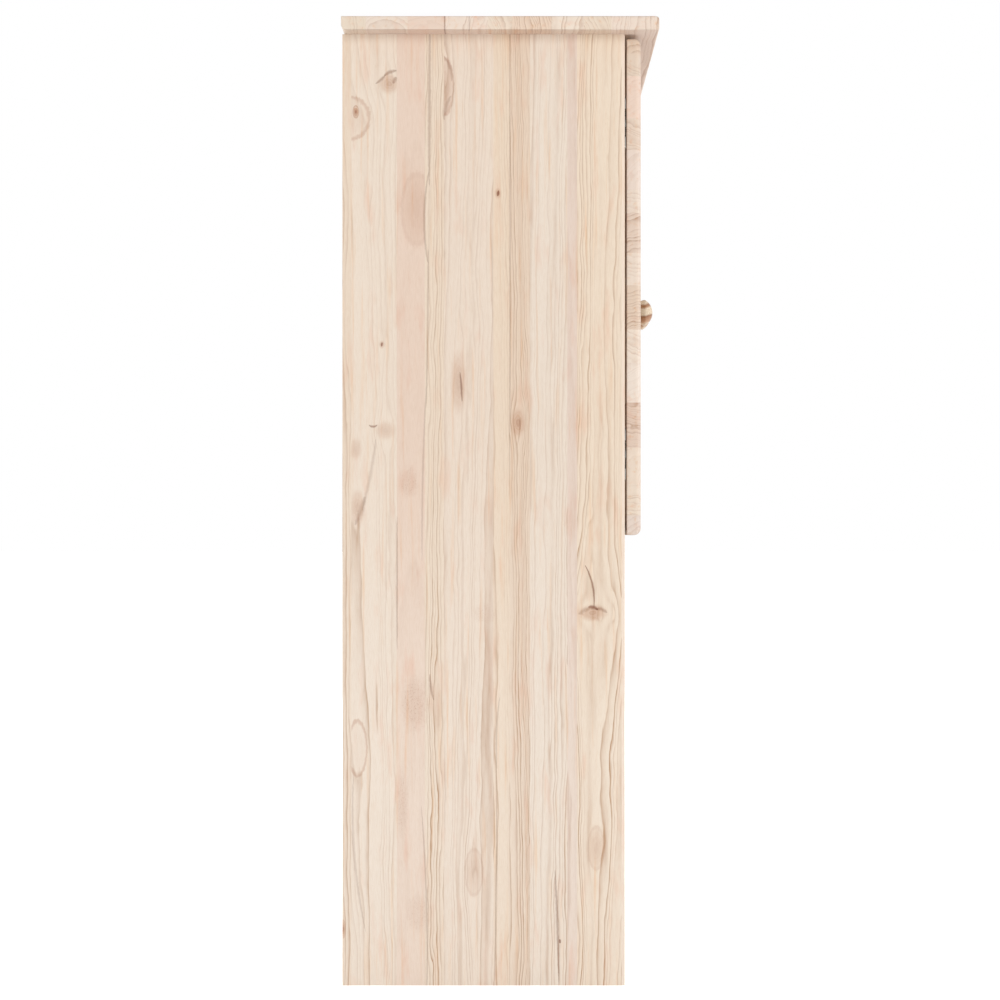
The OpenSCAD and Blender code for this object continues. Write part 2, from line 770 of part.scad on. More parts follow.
module hinge_arm() {
  translate([0, 0, -nose_w / 2]) linear_extrude(nose_w) arm_nose_plan();
  // web and cheeks over the spine of the mounting plate
  difference() {
    union() {
      translate([arm_x, arm_shoulder_y, -arm_w / 2]) cube([arm_t, arm_end_y - arm_shoulder_y, arm_w]);
      for (z = [-arm_w / 2, arm_w / 2 - arm_t])
        translate([arm_x + arm_t - cheek_l, arm_shoulder_y, z])
          cube([cheek_l, arm_end_y - arm_shoulder_y, arm_t]);
    }
    for (y = arm_screw_ys)
      translate([arm_x - over, y, 0]) rod_x(arm_screw_r + metal_fit, arm_t + 2 * over);
  }
}

module mounting_plate() {
  difference() {
    union() {
      translate([side_t, plate_y - spine_l / 2, -spine_w / 2]) cube([spine_h, spine_l, spine_w]);
      translate([side_t, plate_y, -(plate_screw_spacing + wing_w) / 2])
        rotate([90, 0, 90]) linear_extrude(wing_t) translate([-wing_w / 2, 0])
          rounded_rect(wing_w, plate_screw_spacing + wing_w, [wing_end_r, wing_end_r, wing_end_r, wing_end_r]);
    }
    for (end = [-1, 1])
      translate([side_t - over, plate_y, end * plate_screw_spacing / 2])
        rod_x(plate_screw_r + metal_fit, wing_t + 2 * over);
    for (y = arm_screw_ys)
      translate([side_t + spine_h - arm_screw_bite, y, 0])
        rod_x(arm_screw_r + metal_fit, arm_screw_bite + over);
  }
}

module plate_screws() {
  for (end = [-1, 1])
    translate([side_t + wing_t, plate_y, end * plate_screw_spacing / 2]) rotate([0, 90, 0]) {
      translate([0, 0, plate_screw_air - wing_t - plate_screw_l])
        cylinder(r = plate_screw_r, h = wing_t + plate_screw_l - plate_screw_air);
      difference() {
        cylinder(r = plate_screw_head_r, h = plate_screw_head_h);
        translate([0, 0, plate_screw_head_h]) cross_recess(slot_l, slot_w, slot_depth);
      }
    }
}

module arm_screws() {
  for (y = arm_screw_ys)
    translate([arm_x + arm_t, y, 0]) rotate([0, 90, 0]) {
      translate([0, 0, arm_screw_air - arm_screw_l]) cylinder(r = arm_screw_r, h = arm_screw_l - arm_screw_air);
      difference() {
        cylinder(r = arm_screw_head_r, h = arm_screw_head_h);
        translate([0, 0, arm_screw_head_h]) cross_recess(slot_l, slot_w, slot_depth);
      }
    }
}

// Nodes of the left door and its hinges

module left_door_frame() {
  color("burlywood") at_left_door() door_frame();
}

module left_door_glass() {
  color("lightcyan") at_left_door() door_glass();
}

module left_glazing_beads() {
  color("tan") at_left_door() glazing_beads();
}

module left_knob() {
  color("peru") at_left_door() knob();
}

module left_knob_screw() {
  color("silver") at_left_door() knob_screw();
}

module left_door_bumpers() {
  color("gainsboro") at_left_door() door_bumpers();
}

module left_hinge_cups() {
  color("silver") at_left_hinges() hinge_cup();
}

module left_hinge_pins() {
  color("gray") at_left_hinges() hinge_pin();
}

module left_cup_screws() {
  color("gray") at_left_hinges() cup_screws();
}

module left_hinge_arms() {
  color("silver") at_left_hinges() hinge_arm();
}

module left_mounting_plates() {
  color("silver") at_left_hinges() mounting_plate();
}

module left_plate_screws() {
  color("gray") at_left_hinges() plate_screws();
}

module left_arm_screws() {
  color("gray") at_left_hinges() arm_screws();
}

// The right door and its hinges mirror the left ones

module right_door_frame() {
  mirror([1, 0, 0]) left_door_frame();
}

module right_door_glass() {
  mirror([1, 0, 0]) left_door_glass();
}

module right_glazing_beads() {
  mirror([1, 0, 0]) left_glazing_beads();
}

module right_knob() {
  mirror([1, 0, 0]) left_knob();
}

module right_knob_screw() {
  mirror([1, 0, 0]) left_knob_screw();
}

module right_door_bumpers() {
  mirror([1, 0, 0]) left_door_bumpers();
}

module right_hinge_cups() {
  mirror([1, 0, 0]) left_hinge_cups();
}

module right_hinge_pins() {
  mirror([1, 0, 0]) left_hinge_pins();
}

module right_cup_screws() {
  mirror([1, 0, 0]) left_cup_screws();
}

module right_hinge_arms() {
  mirror([1, 0, 0]) left_hinge_arms();
}

module right_mounting_plates() {
  mirror([1, 0, 0]) left_mounting_plates();
}

module right_plate_screws() {
  mirror([1, 0, 0]) left_plate_screws();
}

module right_arm_screws() {
  mirror([1, 0, 0]) left_arm_screws();
}

top_panel();
left_side_panel();
right_side_panel();
bottom_panel();
plinth_rail();
middle_shelf();
upper_shelf();
lower_shelf();
back_panel();
shelf_pins();
cams();
cam_bolts();
dowels();
left_door_frame();
left_door_glass();
left_glazing_beads();
left_knob();
left_knob_screw();
left_door_bumpers();
left_hinge_cups();
left_hinge_pins();
left_cup_screws();
left_hinge_arms();
left_mounting_plates();
left_plate_screws();
left_arm_screws();
right_door_frame();
right_door_glass();
right_glazing_beads();
right_knob();
right_knob_screw();
right_door_bumpers();
right_hinge_cups();
right_hinge_pins();
right_cup_screws();
right_hinge_arms();
right_mounting_plates();
right_plate_screws();
right_arm_screws();
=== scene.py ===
import math
import random

import bmesh
import bpy
from mathutils import Matrix, Vector


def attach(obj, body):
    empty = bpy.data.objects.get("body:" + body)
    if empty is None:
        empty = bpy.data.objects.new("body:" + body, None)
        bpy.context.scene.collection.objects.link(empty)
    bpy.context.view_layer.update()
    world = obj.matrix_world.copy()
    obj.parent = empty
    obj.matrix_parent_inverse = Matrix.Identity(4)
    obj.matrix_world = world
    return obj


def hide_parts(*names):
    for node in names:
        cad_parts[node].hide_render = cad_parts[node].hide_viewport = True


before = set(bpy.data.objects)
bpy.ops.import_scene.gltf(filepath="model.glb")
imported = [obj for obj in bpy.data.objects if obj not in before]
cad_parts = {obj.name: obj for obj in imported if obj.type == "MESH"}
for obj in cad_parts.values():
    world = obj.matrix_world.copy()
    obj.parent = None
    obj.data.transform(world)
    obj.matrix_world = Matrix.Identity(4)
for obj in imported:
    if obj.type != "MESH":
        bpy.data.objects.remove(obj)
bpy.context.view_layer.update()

# ---------------------------------------------------------------------------------------------
# The studio. The dresser stands side-on on a white floor, seen from its left at about half its
# height. A white room lights it evenly, and four wide lamps, one to a side, leave a soft shade
# under the top. The pale floor is a staging piece.
# ---------------------------------------------------------------------------------------------


class Stain:
    """One socket of a finish. Arithmetic on it adds Math nodes, and node() adds any other kind."""

    def __init__(self, tree, socket=None):
        self.tree, self.socket = tree, socket

    def node(self, kind, inputs=(), out=0, stops=(), **settings):
        """Adds a node: its settings and a ramp's stops first, then its inputs, by number or by name."""
        new = self.tree.nodes.new(kind)
        for name, value in settings.items():
            setattr(new, name, value)
        for at, tone in stops[2:]:  # a new ramp has two stops already
            new.color_ramp.elements.new(at)
        for stop, (at, tone) in zip(new.color_ramp.elements if stops else (), stops):
            stop.position, stop.color = at, tone
        for name, value in inputs.items() if isinstance(inputs, dict) else enumerate(inputs):
            if isinstance(value, Stain):
                self.tree.links.new(value.socket, new.inputs[name])
            else:
                new.inputs[name].default_value = value
        return Stain(self.tree, new.outputs[out])

    def math(self, operation, *values):
        return self.node("ShaderNodeMath", (self, *values), operation=operation)

    def vector(self, operation, *values, out=0):
        return self.node("ShaderNodeVectorMath", (self, *values), out, operation=operation)

    def __add__(self, other): return self.math("ADD", other)
    def __sub__(self, other): return self.math("SUBTRACT", other)
    def __mul__(self, other): return self.math("MULTIPLY", other)
    def __truediv__(self, other): return self.math("DIVIDE", other)
    def __pow__(self, other): return self.math("POWER", other)
    def __gt__(self, other): return self.math("GREATER_THAN", other)
    def __abs__(self): return self.math("ABSOLUTE")
    def __rsub__(self, other): return self.node("ShaderNodeMath", (other, self), operation="SUBTRACT")
    def __rtruediv__(self, other): return self.node("ShaderNodeMath", (other, self), operation="DIVIDE")
    __radd__, __rmul__ = __add__, __mul__

    def fade(self, start, end, low=0.0, high=1.0):
        """A soft step from low at start to high at end."""
        return self.node("ShaderNodeMapRange", (self, start, end, low, high),
                         interpolation_type="SMOOTHSTEP")

    def tint(self, colour, share=1.0, how="MIX"):
        """This colour with another laid over it."""
        return self.node("ShaderNodeMix", {0: share, 6: self, 7: colour}, out=2,
                         data_type="RGBA", blend_type=how)


def colour(red, green, blue):
    """A colour as a paint chart gives it, 0 to 255, for a socket."""
    return *(((v / 255 + 0.055) / 1.055) ** 2.4 if v > 10 else v / 3295 for v in (red, green, blue)), 1.0


def finish(name):
    """A new finish, still empty, and the first Stain of its tree."""
    material = bpy.data.materials.new(name)
    material.use_nodes = True
    material.node_tree.nodes.clear()
    return material, Stain(material.node_tree)


def lay_on(stain, surface):
    """Sends a surface to the finish's output."""
    output = stain.tree.nodes.new("ShaderNodeOutputMaterial")
    stain.tree.links.new(surface.socket, output.inputs["Surface"])


def seen_directly(stain):
    """1 for what the camera sees, straight, off a mirror or through glass, and 0 for plain light."""
    straight, mirrored, through = (stain.node("ShaderNodeLightPath", out=ray)
                                   for ray in ("Is Camera Ray", "Is Glossy Ray", "Is Transmission Ray"))
    return straight.math("MAXIMUM", mirrored).math("MAXIMUM", through)


eye = bpy.data.objects.new("eye", bpy.data.cameras.new("eye"))
bpy.context.collection.objects.link(eye)
eye.location = -2.70, -0.0197, 0.5094  # 2.4 m from the side panel
eye.rotation_euler = math.pi / 2, 0, -math.pi / 2
eye.data.lens, eye.data.sensor_width = 78.64, 36
eye.data.shift_x, eye.data.shift_y = -0.0220, 0.0258
bpy.context.scene.camera = eye
bpy.context.scene.view_settings.view_transform = "Standard"

room = bpy.data.worlds.new("studio")
bpy.context.scene.world = room
room.use_nodes = True
room.node_tree.nodes.clear()
air = Stain(room.node_tree)
glow = air.node("ShaderNodeBackground", {"Color": (0.975, 0.985, 1.0, 1.0), "Strength": 0.585})
white = air.node("ShaderNodeBackground", {"Color": (1.0, 1.0, 1.0, 1.0), "Strength": 1.0})
sky = air.node("ShaderNodeMixShader", (seen_directly(air), glow, white))
room.node_tree.links.new(sky.socket, room.node_tree.nodes.new("ShaderNodeOutputWorld").inputs["Surface"])

lamp_width = 2.4
lit_spot = Vector((0.0, 0.0, 0.2))
for name, place, power in (
        ("left_lamp", (-3.2, -0.6, 1.5), 39.0), ("front_lamp", (0.3, -3.2, 1.5), 40.0),
        ("right_lamp", (3.2, 0.4, 1.5), 37.0), ("back_lamp", (-0.2, 3.2, 1.5), 33.0)):
    lamp = bpy.data.objects.new(name, bpy.data.lights.new(name, "AREA"))
    bpy.context.collection.objects.link(lamp)
    lamp.location = place
    lamp.rotation_euler = (lit_spot - lamp.location).to_track_quat("-Z", "Y").to_euler()
    lamp.data.shape, lamp.data.size, lamp.data.energy = "DISK", lamp_width, power
    lamp.visible_glossy = False  # the panes mirror the white room, not the lamp

bm = bmesh.new()
bmesh.ops.create_grid(bm, x_segments=1, y_segments=1, size=40)
floor_mesh = bpy.data.meshes.new("floor")
bm.to_mesh(floor_mesh)
bm.free()
floor = bpy.data.objects.new("floor", floor_mesh)
bpy.context.collection.objects.link(floor)
floor_paint, base = finish("floor_paint")
matt = base.node("ShaderNodeBsdfDiffuse", {"Color": (0.90, 0.90, 0.90, 1.0)})
lift = base.node("ShaderNodeEmission", {"Color": (1.0, 1.0, 1.0, 1.0), "Strength": 0.64})
none = base.node("ShaderNodeEmission", {"Color": (0.0, 0.0, 0.0, 1.0), "Strength": 0.0})
lift = base.node("ShaderNodeMixShader", (seen_directly(base), none, lift))  # white to the eye only
lay_on(base, base.node("ShaderNodeAddShader", (matt, lift)))
floor_mesh.materials.append(floor_paint)

# ---------------------------------------------------------------------------------------------
# The two side panels. Each is glued up from strips of sawn pine, 10 to 50 mm wide, with the
# grain upright; sanded and left pale, with a thin matt lacquer. The outer arrises are eased.
# ---------------------------------------------------------------------------------------------

axes = {"x": 0, "y": 1, "z": 2}


def pine(name, grain, across, strips, knots=(), strokes=(), flecks=(), middle=0.0, seed=0.0, painted_light_and_bold_rings=None,
         painted_underside_shade=False):
    """Edge-glued pine as solid timber, in millimetres along and across the grain.

    strips: (upper edge, tone, ring pitch, pith across, pith depth, ring darkness), first to last
    knots: (along, across, half length, half width, body darkness, rim darkness, strip)
    strokes: (along, across, along, across, half width, bow, darkness) from end to end, cracks and dark rings
    flecks: (along, across, half length, half width, darkness), patches of brown speckle
    middle: where the board lies in its thickness
    painted_light_and_bold_rings: along from and to, where the colour is painted paler, painted light that
    makes up for the shade near the floor, and the rings grow bolder
    painted_underside_shade: faces that look down are painted darker and browner, painted shade under the
    board
    """
    tilt = 0.03  # how far the pith leans through the board along the grain
    late_wood, crack, pore = colour(200, 170, 146), colour(146, 98, 74), colour(196, 158, 130)
    material, wood = finish(name)
    place = wood.node("ShaderNodeTexCoord", out="Object")
    sides = wood.node("ShaderNodeSeparateXYZ", (place,)).socket.node.outputs
    through = next(side for side in "xyz" if side not in (grain, across))
    along, over, deep = (Stain(wood.tree, sides[axes[side]]) * 1000.0 for side in (grain, across, through))
    deep = deep - middle
    flat = wood.node("ShaderNodeCombineXYZ", (along, over))

    def stretched(run, width, detail=2.0, shift=0.0):
        """Cloudy noise drawn out along the grain, -1 to 1 about nought."""
        scale, start = [1000 / width] * 3, [0.0, 0.0, 0.0]
        scale[axes[grain]], start[axes[grain]] = 1000 / run, seed + shift
        at = wood.node("ShaderNodeMapping", {"Vector": place, "Location": start, "Scale": scale})
        noise = wood.node("ShaderNodeTexNoise", {
            "Vector": at, "Scale": 2.0, "Detail": detail, "Roughness": 0.55})
        return noise.math("MULTIPLY_ADD", 2.0, -1.0)

    def seen_from(mid_along, mid_over, long, wide):
        """The place as it lies from an oval's middle, with the oval's edge at 1 all round."""
        return flat.vector("MULTIPLY_ADD", (1 / long, 1 / wide, 0.0),
                           (-mid_along / long, -mid_over / wide, 0.0))

    # where each strip starts, as steps from 0 to 1
    steps = [over > strip[0] for strip in strips[:-1]]

    def by_strip(values):
        """One value for each strip, in their order."""
        total = values[0]
        for step, before, after in zip(steps, values, values[1:]):
            total = step.math("MULTIPLY_ADD", after - before, total)
        return total

    tone = wood.node("ShaderNodeMix", {0: 0.0, 6: strips[0][1]}, out=2, data_type="RGBA")
    for step, strip in zip(steps, strips[1:]):
        tone = tone.tint(strip[1], step)
    own = by_strip([float(i) for i in range(len(strips))])  # a number for each strip, to vary it by

    # the wander of the grain, and how it parts round the knots
    bent = over + stretched(300, 80, shift=3.0) * 7.0 + stretched(80, 24, shift=7.0) * 2.2
    cloud = stretched(9, 7, shift=37.0)
    body = rim = None
    far = 9.0
    near = wood.node("ShaderNodeValue") + far  # how far from the closest knot, in its own radii
    for k_along, k_over, k_long, k_wide, dark, edge_dark, strip in knots:
        at = seen_from(k_along, k_over, k_long, k_wide)
        reach = at.vector("LENGTH", out=1)
        out = at.vector("DOT_PRODUCT", (0.0, 1.0, 0.0), out=1)
        inside = steps[strip - 1] - steps[strip] if strip < len(steps) else steps[strip - 1]
        push = inside * out / (abs(out) + 0.5) / ((reach * 0.55) ** 3.0 + 1.0)
        bent = push.math("MULTIPLY_ADD", -0.8 * k_wide, bent)
        reach = reach + cloud * 0.10
        near = near.math("MINIMUM", inside.math("MULTIPLY_ADD", -far, reach + far))
        if dark:
            fill = reach.fade(1.25, 0.45, 0.0, dark) * inside
            body = fill if body is None else body.math("MAXIMUM", fill)
        if edge_dark:
            line = reach.fade(0.80, 0.97) * reach.fade(1.10, 1.0, 0.0, edge_dark) * inside
            rim = line if rim is None else rim.math("MAXIMUM", line)

    # growth rings about each strip's own pith
    depth = by_strip([strip[4] for strip in strips]) + deep + along * tilt
    gap = bent - by_strip([strip[3] for strip in strips])
    radius = (gap * gap + depth * depth).math("SQRT")
    uneven = wood.node("ShaderNodeTexNoise", {"W": radius * 0.055 + own * 7.3, "Scale": 1.0, "Detail": 1.0},
                       noise_dimensions="1D")
    rings = radius / by_strip([strip[2] for strip in strips])
    rings = rings + uneven * 4.5 + stretched(420, 30, shift=11.0) * 0.6
    year = rings.math("FLOOR")
    grown = rings.math("FRACT")
    fate = wood.node("ShaderNodeTexWhiteNoise", {"W": own * 61.7 + year + seed}, noise_dimensions="1D")
    late = grown ** (fate * 5.0 + 2.5) * grown.fade(1.0, 0.90) + grown.fade(0.1, 1.0) * 0.14
    late = late * (1.25 - fate * 0.75) * by_strip([strip[5] for strip in strips])
    late = late * stretched(150, 10, shift=17.0).fade(-0.6, 0.5, 0.45, 1.15)
    # painted light: towards the foot the colour is painted paler to make up for the shade near the floor; the
    # rings there are drawn bolder, as grain
    if painted_light_and_bold_rings:
        late = late * along.fade(*painted_light_and_bold_rings, 0.95, 1.6)
        tone = tone.tint(colour(252, 243, 232), along.fade(*painted_light_and_bold_rings) * 0.28)

    # colour: tone, drifting patches, rings, fibres, then knots, cracks, speckle and pores
    fibre = stretched(16, 0.6, detail=3.0, shift=31.0)
    warm = stretched(260, 11, shift=23.0).fade(0.05, 0.75) * 0.8
    pink = stretched(120, 26, shift=29.0).fade(0.05, 0.6) * 0.8
    shade = tone.tint(colour(250, 226, 200), warm, "MULTIPLY").tint(colour(252, 238, 232), pink, "MULTIPLY")
    shade = shade.tint(late_wood, late, "MULTIPLY")
    shade = shade.tint(colour(244, 238, 231), fibre.fade(-0.3, 0.7), "MULTIPLY")
    if body is not None:
        ring = (near * 3.6 + cloud * 0.35).math("FRACT")
        ring = ring.fade(0.1, 0.85, 0.45, 1.0) * ring.fade(1.0, 0.9)
        shade = shade.tint(colour(206, 158, 124), body * (1.0 - body * (1.0 - ring)), "MULTIPLY")
        shade = shade.tint(colour(176, 124, 92), body * body * near.fade(0.55, 0.1), "MULTIPLY")
    if rim is not None:
        shade = shade.tint(colour(196, 142, 108), rim, "MULTIPLY")
    for a_from, b_from, a_to, b_to, width, bow, dark in strokes:
        long = math.hypot(a_to - a_from, b_to - b_from)
        way = ((a_to - a_from) / long, (b_to - b_from) / long, 0.0)
        off = flat.vector("SUBTRACT", (a_from, b_from, 0.0))
        run = off.vector("DOT_PRODUCT", (way[0] / long, way[1] / long, 0.0), out=1)
        belly = (run * (1.0 - run) * 4.0).math("MAXIMUM", 0.0)  # 1 half way, 0 at the ends
        side = off.vector("DOT_PRODUCT", (-way[1], way[0], 0.0), out=1)
        side = abs(side + cloud * (0.4 * width) - belly * bow) / (belly.math("SQRT") * width + 0.001)
        shade = shade.tint(crack, side.fade(1.3, 0.1, 0.0, dark), "MULTIPLY")
    for f_along, f_over, f_long, f_wide, dark in flecks:
        at = seen_from(f_along, f_over, f_long, f_wide)
        inside = (at.vector("LENGTH", out=1) + cloud * 0.3).fade(1.15, 0.4)
        speck = stretched(3.2, 1.7, detail=1.0, shift=43.0).fade(0.05, 0.6) * 0.7 + 0.3
        shade = shade.tint(colour(190, 146, 120), inside * speck * dark)
    dash = stretched(3.8, 0.45, detail=0.0, shift=47.0).fade(0.60, 0.78)
    shade = shade.tint(pore, dash * 0.5)

    # sawn ends drink the lacquer: a little darker and duller
    facing = wood.node("ShaderNodeTexCoord", out="Normal")
    end = abs(wood.node("ShaderNodeSeparateXYZ", (facing,), out=axes[grain])).fade(0.6, 0.9)
    # painted shade: faces that look down are darkened and browned, standing in for the shade under the board
    if painted_underside_shade:
        downward_face_mask = wood.node("ShaderNodeSeparateXYZ", (facing,), out=2).fade(-0.7, -0.95)
        shade = shade.tint(colour(243, 237, 235), downward_face_mask, "MULTIPLY")
    shade = shade.tint(colour(252, 250, 248), end, "MULTIPLY")
    rough = (fibre * 0.05 + 0.54 - late * 0.08 + end * 0.14).math("MINIMUM", 0.8)
    relief = wood.node("ShaderNodeBump", {
        "Strength": 0.22, "Distance": 0.0004, "Height": fibre * 0.5 + late * 0.7})
    lay_on(wood, wood.node("ShaderNodeBsdfPrincipled", {
        "Base Color": shade, "Roughness": rough, "Normal": relief, "Specular IOR Level": 0.22}))
    return material


def eased(node, body, material, crease=38):
    """A node's shape with smooth arrises: a merged copy of the node takes its place."""
    bm = bmesh.new()
    bm.from_mesh(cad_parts[node].data)
    bmesh.ops.remove_doubles(bm, verts=bm.verts, dist=1e-6)
    bmesh.ops.dissolve_limit(bm, angle_limit=math.radians(0.2), verts=bm.verts, edges=bm.edges)
    mesh = bpy.data.meshes.new(node + "_finished")
    bm.to_mesh(mesh)
    bm.free()
    mesh.shade_smooth()
    mesh.set_sharp_from_angle(angle=math.radians(crease))
    piece = bpy.data.objects.new(node + "_finished", mesh)
    bpy.context.collection.objects.link(piece)
    mesh.materials.append(material)
    even = piece.modifiers.new("even", "WEIGHTED_NORMAL")
    even.keep_sharp = True
    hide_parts(node)
    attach(piece, body)


cream, straw, rose = colour(235, 219, 203), colour(232, 214, 194), colour(230, 210, 193)
sand, honey, milk = colour(229, 210, 192), colour(227, 206, 185), colour(236, 221, 206)

left_strips = [
    (-130.0, colour(238, 221, 204), 3.0, 100.0, 200.0, 0.10),
    (-80.7, colour(233, 216, 196), 5.4, -185.0, 30.0, 0.72),
    (-70.0, colour(225, 206, 192), 9.0, -30.0, 40.0, 0.25),
    (-28.6, colour(231, 217, 202), 6.2, -150.0, 25.0, 0.55),
    (-5.8, colour(226, 206, 186), 2.9, 60.0, 20.0, 0.66),
    (12.0, colour(230, 211, 190), 6.0, 90.0, 28.0, 0.50),
    (66.8, colour(231, 215, 199), 6.6, -52.0, 34.0, 0.46),
    (88.0, colour(231, 214, 195), 3.6, -30.0, 20.0, 0.70),
    (118.9, colour(228, 206, 189), 12.0, 100.0, 90.0, 0.10),
    (169.3, colour(233, 218, 202), 7.2, 172.0, 17.0, 0.46),
    (400.0, colour(230, 212, 193), 4.6, 230.0, 12.0, 0.60),
]
left_knots = [
    (999.0, 127.5, 11, 11, 0.42, 0.0, 9), (961.0, 171.0, 24, 22, 0.12, 0.32, 9),
    (968.0, 164.4, 7, 3.4, 0.8, 0.45, 9), (996.3, 67.0, 32, 11, 0.34, 0.32, 6),
    (877.6, 6.9, 6.0, 3.6, 0.45, 0.0, 5), (710.2, 135.6, 4.4, 3.0, 0.4, 0.0, 9),
    (615.0, 131.5, 10, 11, 0.28, 0.0, 9), (529.0, 162.5, 20, 8.5, 0.34, 0.0, 9),
    (263.0, 162.5, 31, 10.5, 0.06, 0.34, 9), (413.0, -98.0, 9, 16, 0.48, 0.0, 1),
    (392.0, -100.0, 62, 27, 0.0, 0.0, 1), (623.6, -15.3, 16, 8, 0.50, 0.0, 4),
    (668.0, 50.5, 34, 9, 0.35, 0.0, 6), (125.6, 33.5, 26, 10, 0.22, 0.15, 6),
    (62.4, 178.2, 10, 2.6, 0.6, 0.2, 10), (152.3, -101.8, 24, 9, 0.30, 0.15, 1),
    (860.0, 97.0, 40, 17, 0.24, 0.12, 8), (594.5, 164.5, 12, 7, 0.27, 0.0, 9),
    (310.0, 74.0, 30, 7, 0.2, 0.0, 7),
]
left_strokes = [
    (466.0, -89.5, 419.0, -99.5, 1.4, 3.5, 0.72), (419.5, -93.0, 416.5, -104.0, 2.6, 1.0, 0.72),
    (418.0, -95.0, 411.0, -82.5, 3.0, -1.0, 0.30), (417.0, -101.0, 413.0, -114.0, 2.4, 2.0, 0.40),
    (1014.0, 119.4, 1008.5, 133.0, 2.4, -0.8, 0.50), (1009.0, 131.5, 999.0, 142.5, 1.9, 0.6, 0.46),
    (1006.5, 119.5, 999.5, 123.5, 2.6, 0.0, 0.40), (1030.0, 66.8, 1002.0, 58.0, 2.2, 2.5, 0.26),
    (986.0, 59.0, 959.0, 66.6, 2.8, -1.8, 0.26), (128.0, -56.3, 2.5, -60.7, 1.7, 0.5, 0.52),
    (680.0, 49.1, 647.0, 46.8, 1.5, 0.5, 0.62), (1075.0, 82.4, 885.0, 83.2, 2.2, 0.0, 0.38),
    (902.0, 83.6, 800.0, 84.5, 1.7, -4.5, 0.34), (816.0, 84.2, 640.0, 86.5, 1.5, 0.5, 0.30),
    (664.0, 86.3, 470.0, 91.0, 1.4, -1.5, 0.26), (345.0, 82.5, 316.0, 78.0, 1.8, -1.0, 0.42),
    (520.0, 118.7, 372.0, 118.7, 1.1, 0.0, 0.42), (1075.0, -5.7, 540.0, -5.7, 1.2, 0.8, 0.28),
    (621.0, 150.0, 621.0, 140.5, 1.6, -1.8, 0.60), (606.0, 142.0, 526.0, 157.5, 2.4, 1.5, 0.22),
    (542.0, 154.4, 510.0, 165.5, 3.4, 1.2, 0.28), (232.0, 166.9, 59.0, 153.3, 1.8, -6.0, 0.24),
    (320.0, 5.0, 240.0, 8.0, 1.3, -2.0, 0.28), (250.0, 9.0, -20.0, 12.0, 1.2, 2.0, 0.28),
    (200.0, 92.0, -20.0, 86.0, 1.3, 3.0, 0.32), (881.0, 6.3, 874.5, 7.2, 1.7, 0.0, 0.8),
    (712.6, 135.4, 708.0, 135.8, 1.4, 0.0, 0.75), (51.5, -61.5, 46.8, -61.9, 1.4, 0.0, 0.8),
]
left_flecks = [
    (558.0, 105.5, 19, 12, 0.60), (312.0, 99.0, 34, 17, 0.75), (203.0, 112.5, 44, 7, 0.55),
    (80.0, 95.0, 24, 14, 0.45), (412.0, 21.0, 12, 16, 0.35),
]
# the lower part of this side is painted paler: painted light against the shade near the floor
eased("left_side_panel", "cabinet",
      pine("left_side_pine", "z", "y", left_strips, left_knots, left_strokes, left_flecks,
           middle=-272.0, seed=1.7, painted_light_and_bold_rings=(700.0, 150.0)))


def glue_up(seed, low, high, length, start=0.0, narrow=24.0, wide=56.0, knotty=3):
    """Strips and knots for a board glued from low to high, for the boards that no picture shows."""
    dice = random.Random(seed)
    strips, edge = [], low
    while edge < high:
        edge += dice.uniform(narrow, wide)
        middle = edge - 20
        tone, pitch = dice.choice((cream, straw, rose, sand, honey, milk)), dice.uniform(3.2, 7.5)
        pith = middle + dice.choice((dice.uniform(-12, 12), dice.uniform(60, 160), dice.uniform(-160, -60)))
        strips.append((edge, tone, pitch, pith, dice.uniform(12, 45), dice.uniform(0.3, 0.8)))
    knots = []
    for i in range(knotty):
        strip = dice.randrange(1, len(strips))
        over = dice.uniform(strips[strip - 1][0], min(strips[strip][0], high))
        size = dice.uniform(5, 12)
        knots.append((dice.uniform(start, start + length), over, size * dice.uniform(1.1, 1.9), size,
                      dice.uniform(0.6, 1.0), dice.uniform(0.4, 0.8), strip))
    return strips, knots


strips, knots = glue_up(11, -134, 180, 1054, knotty=8)
eased("right_side_panel", "cabinet",
      pine("right_side_pine", "z", "y", strips, knots, middle=272.0, seed=5.1))

# ---------------------------------------------------------------------------------------------
# The floor board and the fixed middle shelf, which tie the sides together, and the plinth rail
# under the floor. Pine like the sides, with the grain from side to side.
# ---------------------------------------------------------------------------------------------

strips, knots = glue_up(21, -133, 175, 528, start=-264, knotty=5)
eased("bottom_panel", "cabinet",
      pine("bottom_pine", "x", "y", strips, knots, middle=68.0, seed=9.3))
strips, knots = glue_up(22, -133, 175, 528, start=-264, knotty=5)
eased("middle_shelf", "cabinet",
      pine("middle_pine", "x", "y", strips, knots, middle=505.0, seed=12.4))
strips, knots = glue_up(23, 0, 60, 528, start=-264, narrow=30, wide=40, knotty=2)
eased("plinth_rail", "cabinet",
      pine("plinth_pine", "x", "z", strips, knots, middle=-105.7, seed=15.8))

# ---------------------------------------------------------------------------------------------
# The adjustable shelves, pine boards that drop onto four small pins each, in rows of holes.
# ---------------------------------------------------------------------------------------------

strips, knots = glue_up(31, -122, 174, 527, start=-264, knotty=4)
eased("lower_shelf", "cabinet",
      pine("lower_pine", "x", "y", strips, knots, middle=286.0, seed=18.2))
strips, knots = glue_up(32, -122, 174, 527, start=-264, knotty=4)
eased("upper_shelf", "cabinet",
      pine("upper_pine", "x", "y", strips, knots, middle=783.0, seed=21.9))

# ---------------------------------------------------------------------------------------------
# The top, the widest board, with the grain from side to side and its front edge rounded over.
# Its sawn ends show the rings of each strip as short upright bands.
# ---------------------------------------------------------------------------------------------

